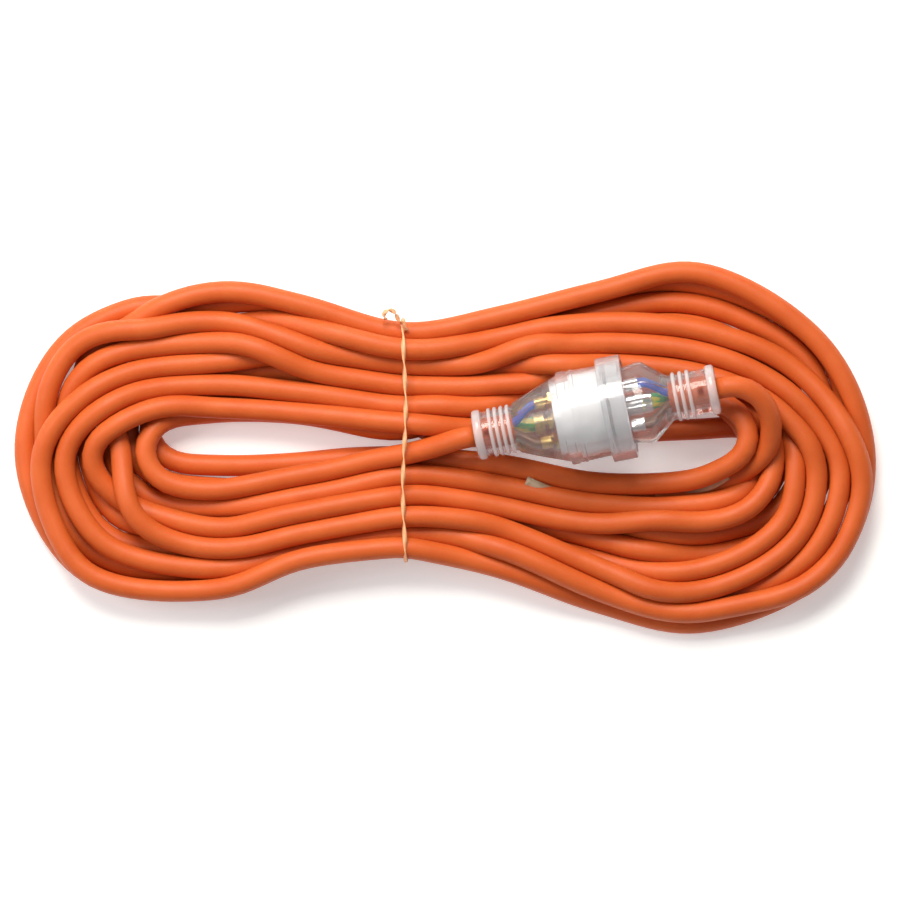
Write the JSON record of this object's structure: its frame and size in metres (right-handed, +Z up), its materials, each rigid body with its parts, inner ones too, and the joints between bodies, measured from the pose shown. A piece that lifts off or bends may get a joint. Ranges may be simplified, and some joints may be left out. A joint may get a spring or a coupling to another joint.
{
  "type": "extension cord",
  "caption": "Heavy-duty orange mains extension lead in a tied hank, its clear flat-pin plug pushed into its clear socket, with wires, crimps and contacts inside.",
  "frame": {"origin": "centre of the base of the hank, on the surface it lies on", "axes": "+X along the hank towards the plug's end, +Y across it, +Z up from the surface"},
  "size_m": [0.3638, 0.1562, 0.054],
  "materials": {
    "sheath": "satin orange PVC",
    "clear_pvc": "clear moulded PVC, slightly hazy",
    "white_nylon": "satin",
    "brass": "satin",
    "tinned": "satin plated",
    "sleeve": "satin",
    "core_brown": "satin",
    "core_blue": "satin",
    "core_green_yellow": "satin, green with a yellow stripe",
    "tie_plastic": "translucent twisted strip",
    "tag_plastic": "translucent strip"
  },
  "bodies": {
    "hank_and_socket": {"cord_hank": "sheath", "socket_lead": "sheath", "plug_lead": "sheath", "cable_tie": "tie_plastic", "tie_tail": "tie_plastic", "tag_strip": "tag_plastic", "socket_body": "clear_pvc", "socket_collar": "clear_pvc", "socket_carrier": "white_nylon", "socket_cord_end": "sheath", "active_contact": "brass", "neutral_contact": "brass", "earth_contact": "brass", "socket_active_crimp": "brass", "socket_neutral_crimp": "brass", "socket_earth_crimp": "brass", "socket_active_core": "core_brown", "socket_neutral_core": "core_blue", "socket_earth_core": "core_green_yellow"},
    "plug": {"plug_body": "clear_pvc", "pin_bridge": "white_nylon", "plug_cord_end": "sheath", "active_pin": "tinned", "neutral_pin": "tinned", "earth_pin": "tinned", "active_pin_sleeve": "sleeve", "neutral_pin_sleeve": "sleeve", "plug_active_crimp": "tinned", "plug_neutral_crimp": "tinned", "plug_earth_crimp": "tinned", "plug_active_core": "core_brown", "plug_neutral_core": "core_blue", "plug_earth_core": "core_green_yellow"}
  },
  "joints": [
    {"name": "plug_pull", "type": "slide", "parent": "hank_and_socket", "child": "plug", "axis": [0.9792, 0.1903, 0.0698], "range_m": [0, 0.024], "deforming": ["plug_lead"]}
  ]
}
